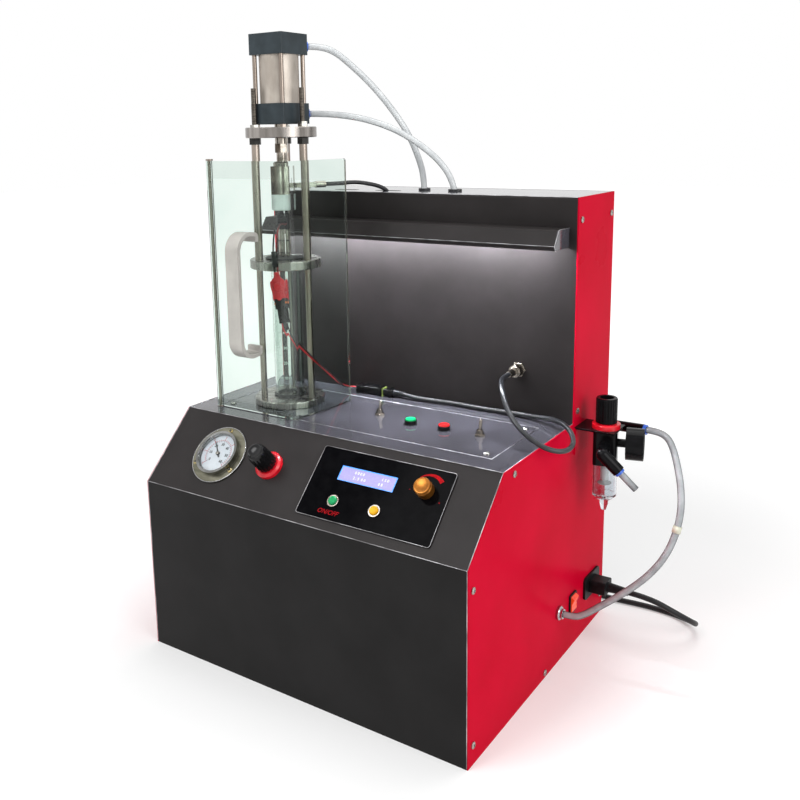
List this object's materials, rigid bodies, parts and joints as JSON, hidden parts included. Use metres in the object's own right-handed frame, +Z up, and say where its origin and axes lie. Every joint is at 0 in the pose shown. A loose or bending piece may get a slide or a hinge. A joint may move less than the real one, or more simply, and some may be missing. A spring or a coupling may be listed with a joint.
{
  "type": "fuel injector tester",
  "caption": "Bench tester for fuel injectors: a sheet metal cabinet with a pneumatic clamp tower, measuring glass, swinging guard, gauges, switches, lamp hood and filter regulator.",
  "frame": {"origin": "the centre of the cabinet's underside, which rests on the bench", "axes": "+X to the right, +Y to the back, +Z up, seen from the front"},
  "size_m": [0.5845, 0.5206, 0.759],
  "materials": {
    "charcoal": "gloss enamel",
    "charcoal_gloss": "mirror-gloss enamel",
    "crimson": "gloss enamel",
    "zinc": "zinc plated",
    "black_gloss": "gloss",
    "display_blue": "lit display",
    "gold": "anodised",
    "green": "gloss",
    "yellow": "gloss",
    "red": "gloss",
    "chrome": "polished",
    "needle": "matt",
    "glass": "clear",
    "red_paint": "satin",
    "steel": "turned",
    "black_rubber": "matt",
    "blue_grey": "anodised",
    "white_plastic": "satin",
    "clear_plastic": "clear",
    "black_plastic": "satin",
    "cast": "cast"
  },
  "bodies": {
    "cabinet": {"air_hoses": "clear_plastic", "base_disc": "steel", "base_pan": "charcoal", "column_shell": "charcoal", "control_panel": "black_gloss", "cover_screws": "zinc", "cylinder_barrel": "steel", "cylinder_caps": "blue_grey", "deck_plate": "charcoal_gloss", "display_module": "display_blue", "filter_body": "black_plastic", "filter_bowl": "clear_plastic", "filter_gauge": "black_plastic", "front_shell": "charcoal", "fuel_hose": "black_rubber", "fuel_tank": "steel", "gauge_case": "chrome", "gauge_glass": "glass", "glass_cylinder": "glass", "guard_hinge_pin": "zinc", "harness_connectors": "black_plastic", "harness_leads": "black_rubber", "hose_port": "chrome", "injector": "steel", "lamp_hood": "charcoal", "left_side_panel": "crimson", "mains_coil": "black_rubber", "mains_lead": "black_rubber", "mains_lead_ends": "black_plastic", "middle_ring": "steel", "power_inlet": "black_plastic", "power_supply": "zinc", "pump_unit": "cast", "rear_cover": "charcoal", "regulator_body": "red_paint", "right_side_panel": "crimson", "rubber_seals": "black_rubber", "supply_hose": "clear_plastic", "switch_bodies": "chrome", "tie_rods": "steel", "top_plate": "steel", "tower_rods": "steel"},
    "clamp": {"piston_rod": "chrome", "clamp_head": "steel", "clamp_collar": "white_plastic"},
    "guard": {"guard_pane": "clear_plastic", "guard_handle": "white_plastic"},
    "speed_knob": {"speed_knob": "gold"},
    "on_off_button": {"on_off_button": "green"},
    "count_button": {"count_button": "yellow"},
    "green_button": {"green_button": "green"},
    "red_button": {"red_button": "red"},
    "gauge_needle": {"gauge_needle": "needle"},
    "regulator_knob": {"regulator_knob": "black_plastic"},
    "toggle_lever_left": {"toggle_lever_left": "chrome"},
    "toggle_lever_right": {"toggle_lever_right": "chrome"},
    "power_rocker": {"power_rocker": "red"},
    "filter_knob": {"filter_knob": "black_plastic"},
    "filter_needle": {"filter_needle": "needle"},
    "valve_cap": {"valve_cap": "black_plastic"}
  },
  "joints": [
    {"name": "clamp_lift", "type": "slide", "parent": "cabinet", "child": "clamp", "axis": [0, 0, 1], "range_m": [0, 0.022]},
    {"name": "guard_swing", "type": "hinge", "parent": "cabinet", "child": "guard", "pos_m": [-0.193, -0.0855, 0.45], "axis": [0, 0, -1], "range_deg": [0, 60]},
    {"name": "speed_turn", "type": "hinge", "parent": "cabinet", "child": "speed_knob", "pos_m": [0.1494, -0.1416, 0.26764], "axis": [0, 0.6955, -0.7185], "range_deg": [-150, 150]},
    {"name": "on_off_press", "type": "slide", "parent": "cabinet", "child": "on_off_button", "axis": [0, 0.6955, -0.7185], "range_m": [0, 0.002], "stiffness_N_per_m": 300, "springref_m": -0.001},
    {"name": "count_press", "type": "slide", "parent": "cabinet", "child": "count_button", "axis": [0, 0.6955, -0.7185], "range_m": [0, 0.002], "stiffness_N_per_m": 300, "springref_m": -0.001},
    {"name": "green_press", "type": "slide", "parent": "cabinet", "child": "green_button", "axis": [0, 0, -1], "range_m": [0, 0.003], "stiffness_N_per_m": 300, "springref_m": -0.001},
    {"name": "red_press", "type": "slide", "parent": "cabinet", "child": "red_button", "axis": [0, 0, -1], "range_m": [0, 0.003], "stiffness_N_per_m": 300, "springref_m": -0.001},
    {"name": "gauge_needle_turn", "type": "hinge", "parent": "cabinet", "child": "gauge_needle", "pos_m": [-0.1372, -0.15055, 0.25618], "axis": [0, 0.6955, -0.7185], "range_deg": [-95, 175], "stiffness_Nm_per_rad": 0.0005},
    {"name": "regulator_turn", "type": "hinge", "parent": "cabinet", "child": "regulator_knob", "pos_m": [-0.0585, -0.14955, 0.25716], "axis": [0, -0.6955, 0.7185], "continuous": true},
    {"name": "toggle_left_tilt", "type": "hinge", "parent": "cabinet", "child": "toggle_lever_left", "pos_m": [0.0063, -0.0131, 0.2976], "axis": [1, 0, 0], "range_deg": [0, 24]},
    {"name": "toggle_right_tilt", "type": "hinge", "parent": "cabinet", "child": "toggle_lever_right", "pos_m": [0.1485, -0.0194, 0.2976], "axis": [1, 0, 0], "range_deg": [0, 24]},
    {"name": "power_rock", "type": "hinge", "parent": "cabinet", "child": "power_rocker", "pos_m": [0.2235, 0.0832, 0.0595], "axis": [0, -1, 0], "range_deg": [0, 18]},
    {"name": "filter_knob_turn", "type": "hinge", "parent": "cabinet", "child": "filter_knob", "pos_m": [0.257, 0.096, 0.31], "axis": [0, 0, 1], "continuous": true},
    {"name": "filter_needle_turn", "type": "hinge", "parent": "cabinet", "child": "filter_needle", "pos_m": [0.257, 0.096, 0.271], "axis": [-0.9659, -0.2588, 0], "range_deg": [0, 270], "stiffness_Nm_per_rad": 0.0005, "springref_deg": -11.46},
    {"name": "valve_turn", "type": "hinge", "parent": "cabinet", "child": "valve_cap", "pos_m": [0.24561, 0.1385, 0.309], "axis": [0, 0, 1], "range_deg": [0, 90]}
  ]
}
